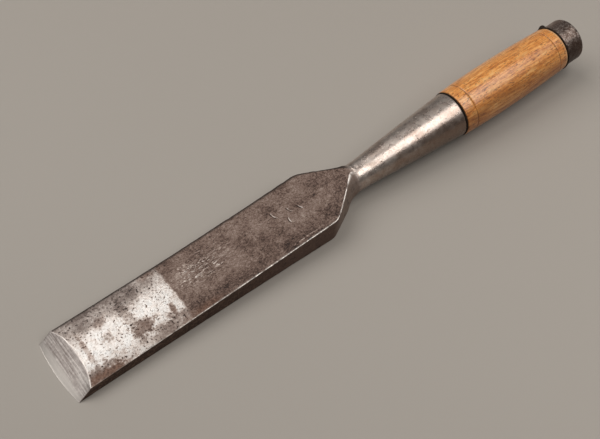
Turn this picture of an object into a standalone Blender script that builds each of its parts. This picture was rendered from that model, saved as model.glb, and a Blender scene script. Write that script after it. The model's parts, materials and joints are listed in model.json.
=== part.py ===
"""Two-inch socket framing chisel: forged blade with its socket, turned handle, two washers, iron hoop.

Metres. X runs along the tool from the cutting edge (-X) to the struck end (+X), Y across the blade,
Z up. The flat back of the blade lies on z = 0, and the origin is under the middle of the tool.
"Station" is the distance from the cutting edge's corners towards the handle.
"""

import math

import bmesh
import bpy
from mathutils import Matrix, Vector

# ---- driving dimensions -------------------------------------------------------------------------
BLADE_WIDTH_TIP = 0.0508          # the two-inch cutting edge
BLADE_WIDTH_SHOULDER = 0.0496
BLADE_WAIST = 0.0009              # the sides are this much hollow at mid length, both together
BLADE_THICK_TIP = 0.0072          # side height, extrapolated to the edge
BLADE_THICK_SHOULDER = 0.0188
BLADE_SAG = 0.0013                # and the top arris this much below straight at mid length
EDGE_BOW = 0.0022                 # the honed edge is proud in the middle
BEVEL_BLEND_END = 0.036           # where the crease's curve has faded from the sections
EDGE_FLAT = 0.00012               # width of the cutting edge itself
BEVEL_SIDE = 0.0097               # length of the bevel at the sides
BEVEL_MIDDLE = 0.0149             # and on the centre line
CROWN_TIP = 0.0026                # rise of the worn top face above its sides, at the tip
CROWN_SHOULDER = 0.0002
CROWN_LENGTH = 0.110              # the crown has faded out this far back

SHOULDER = 0.2049                 # station of the shoulder corners
SHOULDER_ROUND = 0.0011
TOP_RISE_START = 0.2020           # from here the top face curves up to the neck
CREASE_END = 0.2345               # where the right-hand top arris reaches the neck's crest
LEFT_CREASE_WIDTH = 0.0050        # the left-hand one is still this far out there ...
LEFT_CREASE_END = 0.2390          # ... and dies away here
OUTLINE_START = 0.2022            # the walls start to come in a little before the top does ...
OUTLINE_END = 0.2282              # ... and are down to the neck's width here
RIGHT_FULLNESS = 0.0009           # the right-hand arris swells out this much between its ends
LEFT_FULLNESS = 0.0005
BACK_END = 0.2220                 # the flat back starts to round up into the neck
NECK_END = 0.2470
CREST_WIDTH = 0.0007              # what is left of the top and back faces on the round neck, each side
NECK_RADIUS = 0.0101

AXIS_STATION = 0.2049             # the socket and handle axis passes here ...
AXIS_HEIGHT = 0.01254             # ... at this height
AXIS_RISE = 0.0440                # and climbs towards the struck end

SOCKET_START = 0.2370
SOCKET_START_RADIUS = 0.0095
SOCKET_WAIST = 0.2425
SOCKET_WAIST_RADIUS = 0.0103
SOCKET_MOUTH = 0.3296
SOCKET_MOUTH_RADIUS = 0.0173
SOCKET_LIP = 0.0004
SOCKET_SWELL = 0.00025            # the cone bellies out this much at mid length
BORE_MOUTH_RADIUS = 0.0148
BORE_BOTTOM = 0.2600
BORE_BOTTOM_RADIUS = 0.0086
BORE_POINT = 0.0035               # depth of the drill point

GAP = 0.0003
MOUTH_WASHER_THICK = 0.0009
MOUTH_WASHER_RADIUS = 0.0178

TENON_END = 0.2645
HANDLE_START_RADIUS = 0.0180
HANDLE_BELLY_RADIUS = 0.0192
HANDLE_BELLY = 0.378              # station of the fullest part
HANDLE_END = 0.4328
HANDLE_END_RADIUS = 0.0175
HANDLE_EDGE_ROUND = 0.0009
GROOVE_FROM_START = 0.0091
GROOVE_FROM_END = 0.0080
GROOVE_DEPTH = 0.00035
GROOVE_HALF_WIDTH = 0.0005

HOOP_WASHER_THICK = 0.0011
HOOP_WASHER_RADIUS = 0.0179
WASHER_TAB_RISE = 0.0016          # the curled tab on the washer's rim
WASHER_TAB_ANGLE = math.radians(52)
WASHER_TAB_SPREAD = math.radians(9)
HOOP_LENGTH = 0.0162
HOOP_RADIUS = 0.0167
HOOP_INNER_RADIUS = 0.0140
HOOP_EDGE_ROUND = 0.0023
WOOD_PROUD = 0.0010               # end grain standing out of the hoop

TURNED_STEPS = 44
TOP_POINTS = 13                   # across the top face
SIDE_POINTS = 6                   # inside each side wall

MOUTH_WASHER_START = SOCKET_MOUTH + GAP
HANDLE_START = MOUTH_WASHER_START + MOUTH_WASHER_THICK + GAP
HOOP_WASHER_START = HANDLE_END + GAP
HOOP_START = HOOP_WASHER_START + HOOP_WASHER_THICK + GAP
HOOP_END = HOOP_START + HOOP_LENGTH
TOOL_END = HOOP_END + WOOD_PROUD
STUB_RADIUS = HOOP_INNER_RADIUS - GAP
END_FACE_RADIUS = STUB_RADIUS - 0.0030

AXIS = Vector((1.0, 0.0, AXIS_RISE)).normalized()
REAR_X = AXIS_STATION + (TOOL_END - AXIS_STATION) * AXIS.x + END_FACE_RADIUS * AXIS.z
MIDDLE = (REAR_X - EDGE_BOW) / 2  # station of the origin


# ---- scene and materials --------------------------------------------------------------------------
def clear_scene():
    for thing in list(bpy.data.objects):
        bpy.data.objects.remove(thing, do_unlink=True)


def new_collection(name):
    collection = bpy.data.collections.new(name)
    bpy.context.scene.collection.children.link(collection)
    return collection


def material(name, colour, roughness, metallic):
    made = bpy.data.materials.new(name)
    made.use_nodes = True
    shader = made.node_tree.nodes["Principled BSDF"]
    shader.inputs["Base Color"].default_value = (*colour, 1.0)
    shader.inputs["Roughness"].default_value = roughness
    shader.inputs["Metallic"].default_value = metallic
    return made


def add_object(name, mesh, collection, look=None):
    made = bpy.data.objects.new(name, mesh)
    collection.objects.link(made)
    if look:
        mesh.materials.append(look)
    return made


# ---- turned shapes --------------------------------------------------------------------------------
def turned(name, profile, collection, look=None, sharp=35):
    """A solid of revolution about the tool's axis from (radius, station) pairs, handle end first."""
    mesh = bpy.data.meshes.new(name)
    points = [(radius, 0.0, station - AXIS_STATION) for radius, station in profile]
    mesh.from_pydata(points, [(i, i + 1) for i in range(len(points) - 1)], [])
    made = add_object(name, mesh, collection, look)
    made.matrix_world = axis_frame()
    screw = made.modifiers.new("turning", "SCREW")
    screw.steps = TURNED_STEPS
    screw.render_steps = TURNED_STEPS
    screw.use_merge_vertices = True
    screw.merge_threshold = 0.00002
    screw.use_smooth_shade = True
    bake(made)
    made.data.set_sharp_from_angle(angle=math.radians(sharp))
    return made


def axis_frame():
    """Local +Z along the tool's axis, local +X downwards, origin where the axis is pinned."""
    turn = Vector((0, 0, 1)).rotation_difference(AXIS).to_matrix().to_4x4()
    return Matrix.Translation((AXIS_STATION - MIDDLE, 0.0, AXIS_HEIGHT)) @ turn


def bake(thing):
    """Replace the object's mesh with its evaluated one, so that booleans see plain meshes."""
    bpy.context.view_layer.update()
    evaluated = thing.evaluated_get(bpy.context.evaluated_depsgraph_get())
    mesh = bpy.data.meshes.new_from_object(evaluated)
    thing.modifiers.clear()
    thing.data = mesh


def arc(centre, radius, start, end, count):
    """Points on a circle in the profile plane, (radius, station), angles in degrees from +radius."""
    turns = [math.radians(start + (end - start) * i / (count - 1)) for i in range(count)]
    return [(centre[0] + radius * math.cos(t), centre[1] + radius * math.sin(t)) for t in turns]


# ---- the blade --------------------------------------------------------------------------------
def soft_start(station, start, width):
    """Zero before start, rising one for one after it, rounded over the width."""
    return width * math.log1p(math.exp((station - start) / width))


def ease(station, start, end):
    """0 before start, 1 after end, smooth between."""
    share = min(max((station - start) / (end - start), 0.0), 1.0)
    return share * share * (3 - 2 * share)


def bowed(share, ends, middle):
    """A line between two end values that leaves it by the given amount at mid length."""
    return ends[0] + (ends[1] - ends[0]) * share + 4 * middle * share * (1 - share)


def blade_half_width(station):
    share = min(max(station / SHOULDER, 0.0), 1.0)
    return bowed(share, (BLADE_WIDTH_TIP, BLADE_WIDTH_SHOULDER), -BLADE_WAIST) / 2


def shoulder_line(station, start, end, end_width, fullness=0.0):
    """Half-width that falls from the blade's at start to end_width at end, swelling in between."""
    full = blade_half_width(station)
    slope = (full - end_width) / (end - start)
    straight = full - slope * soft_start(station, start, SHOULDER_ROUND)
    return straight + bowed(neck_share(station), (0.0, 0.0), fullness)


def right_crease(station):
    """Half-width of the top face on the right: full along the blade, almost nothing on the neck."""
    return max(shoulder_line(station, SHOULDER, CREASE_END, 0.0, RIGHT_FULLNESS), CREST_WIDTH)


def left_crease(station):
    fade = ease(station, CREASE_END - 0.0010, LEFT_CREASE_END)
    line = shoulder_line(station, SHOULDER, CREASE_END, LEFT_CREASE_WIDTH, LEFT_FULLNESS)
    return max(line, CREST_WIDTH) * (1 - fade) + CREST_WIDTH * fade


def outline(station):
    """Greatest half-width of the section."""
    straight = shoulder_line(station, OUTLINE_START, OUTLINE_END, NECK_RADIUS)
    return NECK_RADIUS + soft_start(straight, NECK_RADIUS, SHOULDER_ROUND)


def back_half_width(station):
    fade = ease(station, BACK_END, LEFT_CREASE_END)
    return outline(station) * (1 - fade) + CREST_WIDTH * fade


def neck_share(station):
    """0 along the blade, 1 on the round neck."""
    return min(max((station - SHOULDER) / (CREASE_END - SHOULDER), 0.0), 1.0)


def axis_height(station):
    return AXIS_HEIGHT + AXIS_RISE * (station - AXIS_STATION)


def side_top(station):
    """Height of the top arris: the blade's own line, eased up to the crest of the neck."""
    blade = bowed(station / SHOULDER, (BLADE_THICK_TIP, BLADE_THICK_SHOULDER), -BLADE_SAG)
    neck = axis_height(station) + NECK_RADIUS
    return blade + (neck - blade) * ease(station, TOP_RISE_START, LEFT_CREASE_END)


def side_bottom(station):
    return (axis_height(station) - NECK_RADIUS) * ease(station, BACK_END - 0.008, LEFT_CREASE_END)


def crown(station, across):
    fade = max(1 - station / CROWN_LENGTH, 0.0) ** 1.5
    rise = CROWN_SHOULDER + (CROWN_TIP - CROWN_SHOULDER) * fade
    return rise * (1 - abs(across) ** 2.4) * (1 - neck_share(station))


def bevel_end(across):
    return BEVEL_MIDDLE - (BEVEL_MIDDLE - BEVEL_SIDE) * abs(across) ** 2.6


def side_wall(station, crease, upper, lower):
    """Points down one side, from below the top arris to above the back's."""
    back = back_half_width(station)
    bulge = outline(station) - (crease + back) / 2
    crispness = 2 - neck_share(station)
    points = []
    for i in range(1, SIDE_POINTS + 1):
        turn = math.pi * i / (SIDE_POINTS + 1)
        down = (1 - math.cos(turn)) / 2
        width = crease + (back - crease) * down + bulge * math.sin(turn) ** crispness
        points.append((width, upper + (lower - upper) * down))
    return points


def section(station, bow=None, flat=False):
    """One closed ring of points round the blade: top from +Y to -Y, side, back, side.

    bow moves each point along X by its place across the blade, and flat makes the cutting edge."""
    left = left_crease(station)
    right = right_crease(station)
    wide = back_half_width(station)
    top = []
    for i in range(TOP_POINTS):
        across = 1 - 2 * i / (TOP_POINTS - 1)
        place = station + (bow(across) if bow else 0.0)
        high = EDGE_FLAT if flat else side_top(place) + crown(place, across)
        top.append((place, (left if across > 0 else right) * across, high))
    edge = station + (bow(1.0) if bow else 0.0)
    upper = EDGE_FLAT if flat else side_top(edge)
    lower = 0.0 if flat else side_bottom(edge)
    right_side = [(edge, -y, z) for y, z in side_wall(station, right, upper, lower)]
    left_side = [(edge, y, z) for y, z in reversed(side_wall(station, left, upper, lower))]
    back = []
    for i in range(TOP_POINTS):
        across = -1 + 2 * i / (TOP_POINTS - 1)
        place = station + (bow(across) if bow else 0.0)
        back.append((place, wide * across, lower))
    return [(s - MIDDLE, y, z) for s, y, z in top + right_side + back + left_side]


def blade_rings():
    """The sections from the cutting edge to inside the socket's root."""
    rings = [section(0.0, bow=lambda q: -EDGE_BOW * (1 - q * q), flat=True)]
    rings.append(section(0.0, bow=bevel_end))
    count = 5
    for i in range(1, count + 1):
        share = i / count
        start = BEVEL_MIDDLE * (1 - share) + BEVEL_BLEND_END * share
        easing = (1 - share) ** 1.5
        rings.append(section(start, bow=lambda q, e=easing: (bevel_end(q) - BEVEL_MIDDLE) * e))
    shoulder_start = SHOULDER - 0.0090
    for i in range(1, 9):
        rings.append(section(BEVEL_BLEND_END + (shoulder_start - BEVEL_BLEND_END) * i / 8))
    for away in (-0.0050, -0.0027, -0.0015, -0.0006, 0.0, 0.0006, 0.0015, 0.0027, 0.0045):
        rings.append(section(SHOULDER + away))
    shoulder_end = SHOULDER + 0.0045
    for i in range(1, 15):
        rings.append(section(shoulder_end + (LEFT_CREASE_END - shoulder_end) * i / 14))
    rings.append(section(NECK_END))
    return rings


def blade_loft(name, collection, look):
    work = bmesh.new()
    rows = [[work.verts.new(point) for point in ring] for ring in blade_rings()]
    count = len(rows[0])
    for low, high in zip(rows, rows[1:]):
        for i in range(count):
            j = (i + 1) % count
            work.faces.new((low[i], low[j], high[j], high[i]))
    work.faces.new(rows[0])
    work.faces.new(rows[-1])
    bmesh.ops.remove_doubles(work, verts=work.verts, dist=0.00001)
    bmesh.ops.recalc_face_normals(work, faces=work.faces)
    mesh = bpy.data.meshes.new(name)
    work.to_mesh(mesh)
    work.free()
    mesh.shade_smooth()
    mesh.set_sharp_from_angle(angle=math.radians(28))
    return add_object(name, mesh, collection, look)


def socket_profile():
    """The hollow cone: bore from its point to the mouth, over the lip, down the outside."""
    bore = [(0.0, BORE_BOTTOM - BORE_POINT), (BORE_BOTTOM_RADIUS, BORE_BOTTOM)]
    inside = [(BORE_MOUTH_RADIUS, SOCKET_MOUTH)]
    lip = [(SOCKET_MOUTH_RADIUS - SOCKET_LIP, SOCKET_MOUTH),
           (SOCKET_MOUTH_RADIUS, SOCKET_MOUTH - SOCKET_LIP)]
    outside = []
    for i in range(1, 6):
        share = i / 6
        station = SOCKET_MOUTH + (SOCKET_WAIST - SOCKET_MOUTH) * share
        straight = SOCKET_MOUTH_RADIUS + (SOCKET_WAIST_RADIUS - SOCKET_MOUTH_RADIUS) * share
        outside.append((straight + SOCKET_SWELL * math.sin(math.pi * share), station))
    root = [(SOCKET_WAIST_RADIUS, SOCKET_WAIST), (SOCKET_START_RADIUS, SOCKET_START), (0.0, SOCKET_START)]
    return bore + inside + lip + outside + root


def make_blade(collection, cutters, look):
    blade = blade_loft("blade", collection, look)
    socket = turned("socket_cone", socket_profile(), cutters, look, sharp=30)
    socket.hide_render = True
    socket.display_type = "WIRE"
    join = blade.modifiers.new("socket", "BOOLEAN")
    join.operation = "UNION"
    join.solver = "EXACT"
    join.object = socket


# ---- handle, washers, hoop ----------------------------------------------------------------------
def handle_radius(station):
    """The swell of the grip, a smooth rise to the belly and a slow fall to the struck end."""
    if station < HANDLE_BELLY:
        share = (HANDLE_BELLY - station) / (HANDLE_BELLY - HANDLE_START)
        return HANDLE_BELLY_RADIUS - (HANDLE_BELLY_RADIUS - HANDLE_START_RADIUS) * share ** 2.4
    share = (station - HANDLE_BELLY) / (HANDLE_END - HANDLE_BELLY)
    return HANDLE_BELLY_RADIUS - (HANDLE_BELLY_RADIUS - HANDLE_END_RADIUS) * share ** 1.7


def groove(station):
    """A scribed ring: a small V in the grip's outline."""
    return [(handle_radius(station + GROOVE_HALF_WIDTH), station + GROOVE_HALF_WIDTH),
            (handle_radius(station) - GROOVE_DEPTH, station),
            (handle_radius(station - GROOVE_HALF_WIDTH), station - GROOVE_HALF_WIDTH)]


def bore_radius(station):
    share = (station - BORE_BOTTOM) / (SOCKET_MOUTH - BORE_BOTTOM)
    return BORE_BOTTOM_RADIUS + (BORE_MOUTH_RADIUS - BORE_BOTTOM_RADIUS) * share


def make_handle(collection, look):
    end_groove = HANDLE_END - GROOVE_FROM_END
    start_groove = HANDLE_START + GROOVE_FROM_START
    profile = [(0.0, TOOL_END), (END_FACE_RADIUS, TOOL_END), (STUB_RADIUS - 0.0010, TOOL_END - 0.0003)]
    profile += [(STUB_RADIUS, HOOP_END - 0.0006), (STUB_RADIUS, HANDLE_END)]
    rim = (HANDLE_END_RADIUS - HANDLE_EDGE_ROUND, HANDLE_END - HANDLE_EDGE_ROUND)
    profile += arc(rim, HANDLE_EDGE_ROUND, 90, 10, 4)
    profile += groove(end_groove)
    body = 12
    for i in range(1, body):
        station = end_groove + (start_groove - end_groove) * i / body
        profile.append((handle_radius(station), station))
    profile += groove(start_groove)
    profile += [(handle_radius(HANDLE_START + 0.0045), HANDLE_START + 0.0045)]
    rim = (HANDLE_START_RADIUS - HANDLE_EDGE_ROUND, HANDLE_START + HANDLE_EDGE_ROUND)
    profile += arc(rim, HANDLE_EDGE_ROUND, -10, -90, 4)
    clear = GAP + 0.00005
    profile += [(bore_radius(SOCKET_MOUTH) - clear, HANDLE_START)]
    profile += [(bore_radius(SOCKET_MOUTH) - clear, SOCKET_MOUTH)]
    profile += [(bore_radius(TENON_END + 0.001) - clear, TENON_END + 0.001)]
    profile += [(bore_radius(TENON_END) - clear - 0.001, TENON_END), (0.0, TENON_END)]
    return turned("handle", profile, collection, look, sharp=30)


def make_washer(name, start, thick, radius, hole, collection, look):
    end = start + thick
    soft = 0.25 * thick
    profile = [(hole, start), (hole, end), (radius - soft, end), (radius, end - soft)]
    profile += [(radius, start + soft), (radius - soft, start), (hole, start)]
    return turned(name, profile, collection, look)


def curl_tab(washer):
    """Push out one short stretch of the washer's rim, where the leather has curled up."""
    flat = axis_frame().inverted()
    for vertex in washer.data.vertices:
        local = flat @ washer.matrix_world @ vertex.co
        away = math.hypot(local.x, local.y)
        if away < 0.9 * HOOP_WASHER_RADIUS:
            continue
        up = -local.x
        turn = math.atan2(local.y, up)
        share = max(1 - ((turn - WASHER_TAB_ANGLE) / WASHER_TAB_SPREAD) ** 2, 0.0)
        vertex.co.x *= 1 + WASHER_TAB_RISE * share / away
        vertex.co.y *= 1 + WASHER_TAB_RISE * share / away


def make_hoop(collection, look):
    small = 0.0005
    rear = (HOOP_RADIUS - HOOP_EDGE_ROUND, HOOP_END - HOOP_EDGE_ROUND)
    profile = [(HOOP_INNER_RADIUS, HOOP_START), (HOOP_INNER_RADIUS, HOOP_END - small)]
    profile += [(HOOP_INNER_RADIUS + small / 2, HOOP_END)]
    profile += arc(rear, HOOP_EDGE_ROUND, 90, 0, 6)
    profile += [(HOOP_RADIUS, HOOP_START + small), (HOOP_RADIUS - small, HOOP_START)]
    profile += [(HOOP_INNER_RADIUS, HOOP_START)]
    return turned("hoop", profile, collection, look)


def main():
    clear_scene()
    parts = new_collection("socket_framing_chisel")
    cutters = new_collection("cutters")
    steel = material("blade_steel", (0.30, 0.27, 0.25), 0.42, 0.9)
    wood = material("handle_wood", (0.50, 0.24, 0.09), 0.45, 0.0)
    leather = material("washer_leather", (0.035, 0.022, 0.015), 0.75, 0.0)
    iron = material("hoop_iron", (0.12, 0.10, 0.09), 0.55, 0.85)
    make_blade(parts, cutters, steel)
    make_handle(parts, wood)
    neck_hole = bore_radius(SOCKET_MOUTH)
    make_washer("mouth_washer", MOUTH_WASHER_START, MOUTH_WASHER_THICK, MOUTH_WASHER_RADIUS,
                neck_hole, parts, leather)
    hoop_washer = make_washer("hoop_washer", HOOP_WASHER_START, HOOP_WASHER_THICK,
                              HOOP_WASHER_RADIUS, HOOP_INNER_RADIUS, parts, leather)
    curl_tab(hoop_washer)
    make_hoop(parts, iron)


main()
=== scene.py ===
"""Looks of the two-inch socket framing chisel: worn steel blade and socket, oiled grip, washers, hoop.

Metres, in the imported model's frame: X from the cutting edge (-X) to the struck end (+X), Y across the
blade, Z up, with the flat back on z = 0. "Station" is the distance from the cutting edge's corners
towards the handle, along X on the blade and along the tool's axis on every turned surface.
"""

import json
import math
import random

import bpy
import numpy as np
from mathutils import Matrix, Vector, noise


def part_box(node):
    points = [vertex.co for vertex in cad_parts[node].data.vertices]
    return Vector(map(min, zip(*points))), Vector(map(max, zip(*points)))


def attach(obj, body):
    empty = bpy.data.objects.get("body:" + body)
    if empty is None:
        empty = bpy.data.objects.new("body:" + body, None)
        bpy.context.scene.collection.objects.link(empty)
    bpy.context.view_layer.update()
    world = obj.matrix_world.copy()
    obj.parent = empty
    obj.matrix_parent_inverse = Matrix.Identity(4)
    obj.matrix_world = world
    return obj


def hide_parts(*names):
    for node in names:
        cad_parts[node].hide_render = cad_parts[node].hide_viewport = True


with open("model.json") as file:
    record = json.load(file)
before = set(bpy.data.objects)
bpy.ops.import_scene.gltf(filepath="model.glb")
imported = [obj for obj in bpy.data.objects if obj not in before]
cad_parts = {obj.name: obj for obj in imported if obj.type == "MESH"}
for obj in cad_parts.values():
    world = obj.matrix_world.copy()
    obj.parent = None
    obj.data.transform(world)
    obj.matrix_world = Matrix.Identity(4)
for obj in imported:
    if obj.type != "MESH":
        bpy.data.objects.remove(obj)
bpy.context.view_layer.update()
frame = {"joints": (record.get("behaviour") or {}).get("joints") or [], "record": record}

# ---- places read from the frame ----
EDGE_BOW = 0.0022
EDGE_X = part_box("blade")[0].x + EDGE_BOW  # where the edge's corners are: station 0
AXIS = Vector(frame["joints"][0]["axis"]).normalized()
UPRIGHT = Vector((-AXIS.z, 0.0, AXIS.x))  # square to the axis, in the plane of symmetry
ACROSS = Vector((0.0, 1.0, 0.0))
STRUCK = Vector(next(m["pos_m"] for m in frame["record"]["mounts"] if m["name"] == "struck_end"))

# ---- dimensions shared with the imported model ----
TOOL_END = 0.4517
BLADE_WIDTH = (0.0508, 0.0496)  # at the edge, at the shoulders
BLADE_WAIST = 0.0009
BLADE_THICK = (0.0072, 0.0188)
BLADE_SAG = 0.0013
BEVEL_SIDE, BEVEL_MIDDLE = 0.0097, 0.0149
CROWN_TIP, CROWN_SHOULDER, CROWN_LENGTH = 0.0026, 0.0002, 0.110
SHOULDER, SHOULDER_ROUND = 0.2049, 0.0011
TOP_RISE_START = 0.2020
CREASE_END, RIGHT_FULLNESS = 0.2345, 0.0009
LEFT_CREASE_WIDTH, LEFT_FULLNESS, LEFT_CREASE_END = 0.0050, 0.0005, 0.2390
OUTLINE_START, OUTLINE_END = 0.2022, 0.2282
BACK_END = 0.2220
NECK_RADIUS, CREST_WIDTH = 0.0101, 0.0007
SOCKET_START, SOCKET_WAIST, SOCKET_MOUTH = 0.2370, 0.2425, 0.3296
WAIST_RADIUS, MOUTH_RADIUS, LIP = 0.0103, 0.0173, 0.0004
SOCKET_SWELL = 0.00025  # how far the forged cone bellies out
BORE_MOUTH, BORE_BOTTOM, BORE_END, BORE_POINT = 0.0148, 0.0086, 0.2600, 0.0035
BORE_CHAMFER = (0.0003, 0.0004)  # along the bore, across its mouth
GAP = 0.0003
MOUTH_WASHER = (0.3299, 0.0009, 0.0178)  # start, thickness, radius
GRIP_START, GRIP_END = 0.3311, 0.4328
GRIP_RADII = (0.0180, 0.0192, 0.0175)  # start, belly, end
GRIP_FRONT_ROUND, GRIP_REAR_ROUND = 0.0004, 0.0009
BELLY = 0.378
TENON_END = 0.2645
RINGS = (GRIP_START + 0.0091, GRIP_END - 0.0080)
RING_DEPTH, RING_REACH = 0.00035, 0.0005  # of each scribed ring: its depth and half its width
HOOP_WASHER = (0.4331, 0.0011, 0.0179)
HOOP_START, HOOP_END = 0.4345, 0.4507
HOOP_RADIUS, HOOP_INNER = 0.0167, 0.0140
HOOP_FRONT_ROUND, HOOP_REAR_ROUND = 0.0005, 0.0023

# ---- how finely the skins are cut ----
FACE_POINTS = 71  # across the top and across the back
WALL_POINTS = 21  # down each side wall
ARRIS_POINTS = 3  # round each arris
BEVEL_ROWS = 22  # from the cutting edge to the bevel's heel
BLEND_ROWS = 34  # from the heel to where the rings are straight again
BLADE_STEP, NECK_STEP, CONE_STEP = 0.00082, 0.00055, 0.00095
BORE_ROWS = 18
TURN = 2 * math.pi * np.arange(168) / 168  # the angles of a turned surface's points

# ---- where the rings change kind ----
BLEND_END = 0.036  # the bevel's bow has died out
NECK_START, NECK_END = 0.196, SOCKET_WAIST + 0.005
NECK_BLEND = 0.0004  # how softly the neck runs into the cone
CONE_START = SOCKET_WAIST + 0.006

# ---- marks on the steel ----
# dings on the top face: station, place across, lean and half length
DINGS = ((0.1722, 0.0061, 0.25, 0.0030), (0.1837, 0.0035, 0.30, 0.0024),
         (0.1791, -0.0034, -0.10, 0.0026), (0.1911, 0.0010, 0.35, 0.0023))
# stains on the bright front, and rust: station, place across, half length, half width, softness
# and strength
STAINS = ((0.0535, 0.0010, 0.0036, 0.0190, 0.35, 0.75), (0.0575, -0.0095, 0.0080, 0.0060, 0.35, 1.35),
          (0.0205, -0.0060, 0.0020, 0.0140, 0.35, 0.65), (0.0210, -0.0225, 0.0140, 0.0060, 0.35, 1.0),
          (0.0370, 0.0105, 0.0042, 0.0034, 0.7, 0.5), (0.0360, -0.0025, 0.0036, 0.0028, 0.35, 0.5),
          (0.0290, 0.0235, 0.0075, 0.0026, 0.35, 0.6), (0.0640, 0.0165, 0.0036, 0.0060, 0.7, 0.5),
          (0.0470, 0.0230, 0.0100, 0.0030, 0.35, 0.4), (0.0830, 0.0240, 0.0060, 0.0030, 0.35, 0.7),
          (0.0805, -0.0100, 0.0018, 0.0050, 0.35, 1.0))
RUST = ((0.0230, -0.0240, 0.0150, 0.0042, 0.5, 1.0), (0.0580, -0.0095, 0.0060, 0.0045, 0.7, 0.45),
        (0.0805, -0.0100, 0.0016, 0.0042, 0.5, 0.6), (0.0370, 0.0105, 0.0038, 0.0030, 0.7, 0.35),
        (0.0205, -0.0020, 0.0012, 0.0120, 0.7, 0.35), (0.0960, -0.0235, 0.0140, 0.0040, 0.7, 0.7),
        (0.0790, 0.0215, 0.0060, 0.0030, 0.7, 0.5))
SCUFF = (0.1130, 0.0040, 0.0190, 0.0095, 0.6, 1.0)
GROUND_END = 0.0874
CHATTER_PITCH, CHATTER_HEIGHT = 0.0021, 0.00006

# relief: height, size and seed of the forging's broad and fine waves, the arrises' and the grip's
BROAD, FINE, WAVY = (0.00011, 0.021, 3.0), (0.000035, 0.0055, 8.0), (0.00028, 0.0075, 9.0)
GRIP_BROAD, GRIP_FINE, GRIP_OVAL = (0.00009, 0.016, 2.0), (0.00002, 0.003, 6.0), 0.00009
# shallow dents: first row, how many, radii, depths and seed; none in the last rows, inside the bore
DENTS = ((60, 260, (0.0007, 0.0022), (0.00003, 0.00012), 11),
         (320, 70, (0.0015, 0.0035), (0.00003, 0.00010), 12))
UNDENTED = 40
HAMMER_MARKS = 46  # on the hoop
# nicks in the top arrises: station, side (-1 is -Y), depth and reach; more are put in at random
NICKS = ((0.1507, -1, 0.0005, 0.0011), (0.1548, -1, 0.0005, 0.0010), (0.0512, 1, 0.0004, 0.0010),
         (0.2179, 1, 0.0007, 0.0013))
MORE_NICKS = 34

# the hoop washer's curled tab: its angle, then its spread before and after that
TAB = (math.radians(43), math.radians(8), math.radians(19))
TAB_REACH, TAB_FORWARD = (0.0017, 0.0002), 0.0016  # reach at the washer's rear, at its front

# ---- stage, light and camera ----
FLOOR_HALF, FLOOR_Z = 4.0, -0.0002
WORLD_COLOUR, WORLD_LIGHT = (1.0, 0.99, 0.97, 1.0), 0.16
LIGHT_COLOUR = (1.0, 0.985, 0.96)
LIGHTS = (  # name, place, target, size, power
    ("overhead", (0.55, -0.52, 1.10), (0.55, -0.52, 0.0), (0.75, 1.15), 8.1),
    ("far_left", (-0.30, 0.75, 1.20), (-0.10, 0.0, 0.0), (1.15, 1.15), 9.8),
    ("left", (-1.35, 0.55, 0.95), (-0.20, 0.0, 0.0), (1.0, 1.0), 2.5),
)
CAMERA_PLACE = (EDGE_X - 0.0533, -0.3182, 0.5608)
CAMERA_LOOK = (0.35576, 0.46370, -0.81143)
CAMERA_LENS, CAMERA_SENSOR = 59.39, 36.0


# ---- small mathematics ----
def ease(value, start, end):
    """0 before start, 1 after end, smooth between."""
    share = min(max((value - start) / (end - start), 0.0), 1.0)
    return share * share * (3 - 2 * share)


def mixed(low, high, share):
    return low + (high - low) * share


def soft_start(station, start, width):
    reach = (station - start) / width
    return width * (math.log1p(math.exp(reach)) if reach < 40 else reach)


def bowed(share, ends, middle):
    return mixed(ends[0], ends[1], share) + 4 * middle * share * (1 - share)


def spaced(start, end, step):
    """Stations from start up to, but not including, end."""
    count = max(1, round((end - start) / step))
    return [mixed(start, end, i / count) for i in range(count)]


def grain(place, size, seed):
    """Smooth noise about zero, with features of the given size."""
    return noise.fractal(Vector(place) / size + Vector((seed, 2 * seed, -seed)), 1.0, 2.0, 3)


def eased(stations, start, end, low=0.0, high=1.0):
    """For every station: low before start, high after end, smooth between."""
    return np.array([mixed(low, high, ease(s, start, end)) for s in stations])


def axis_point(station):
    return STRUCK + (station - TOOL_END) * AXIS


def spoke(angle):
    """The direction away from the tool's axis: 0 is up, and a quarter turn is +Y."""
    return math.cos(angle) * UPRIGHT + math.sin(angle) * ACROSS


# ---- the blade's form ----
def blade_half_width(station):
    share = min(max(station / SHOULDER, 0.0), 1.0)
    return bowed(share, BLADE_WIDTH, -BLADE_WAIST) / 2


def neck_share(station):
    return min(max((station - SHOULDER) / (CREASE_END - SHOULDER), 0.0), 1.0)


def shoulder_line(station, start, end, end_width, fullness=0.0):
    full = blade_half_width(station)
    slope = (full - end_width) / (end - start)
    straight = full - slope * soft_start(station, start, SHOULDER_ROUND)
    return straight + bowed(neck_share(station), (0.0, 0.0), fullness)


def right_crease(station):
    return max(shoulder_line(station, SHOULDER, CREASE_END, 0.0, RIGHT_FULLNESS), CREST_WIDTH)


def left_crease(station):
    fade = ease(station, CREASE_END - 0.0010, LEFT_CREASE_END)
    line = shoulder_line(station, SHOULDER, CREASE_END, LEFT_CREASE_WIDTH, LEFT_FULLNESS)
    return mixed(max(line, CREST_WIDTH), CREST_WIDTH, fade)


def outline(station):
    straight = shoulder_line(station, OUTLINE_START, OUTLINE_END, NECK_RADIUS)
    return NECK_RADIUS + soft_start(straight, NECK_RADIUS, SHOULDER_ROUND)


def back_half_width(station):
    return mixed(outline(station), CREST_WIDTH, ease(station, BACK_END, LEFT_CREASE_END))


def axis_height(station):
    return STRUCK.z + (station + EDGE_X - STRUCK.x) * AXIS.z / AXIS.x


def side_top(station):
    blade = bowed(station / SHOULDER, BLADE_THICK, -BLADE_SAG)
    neck = axis_height(station) + NECK_RADIUS
    return mixed(blade, neck, ease(station, TOP_RISE_START, LEFT_CREASE_END))


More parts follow.
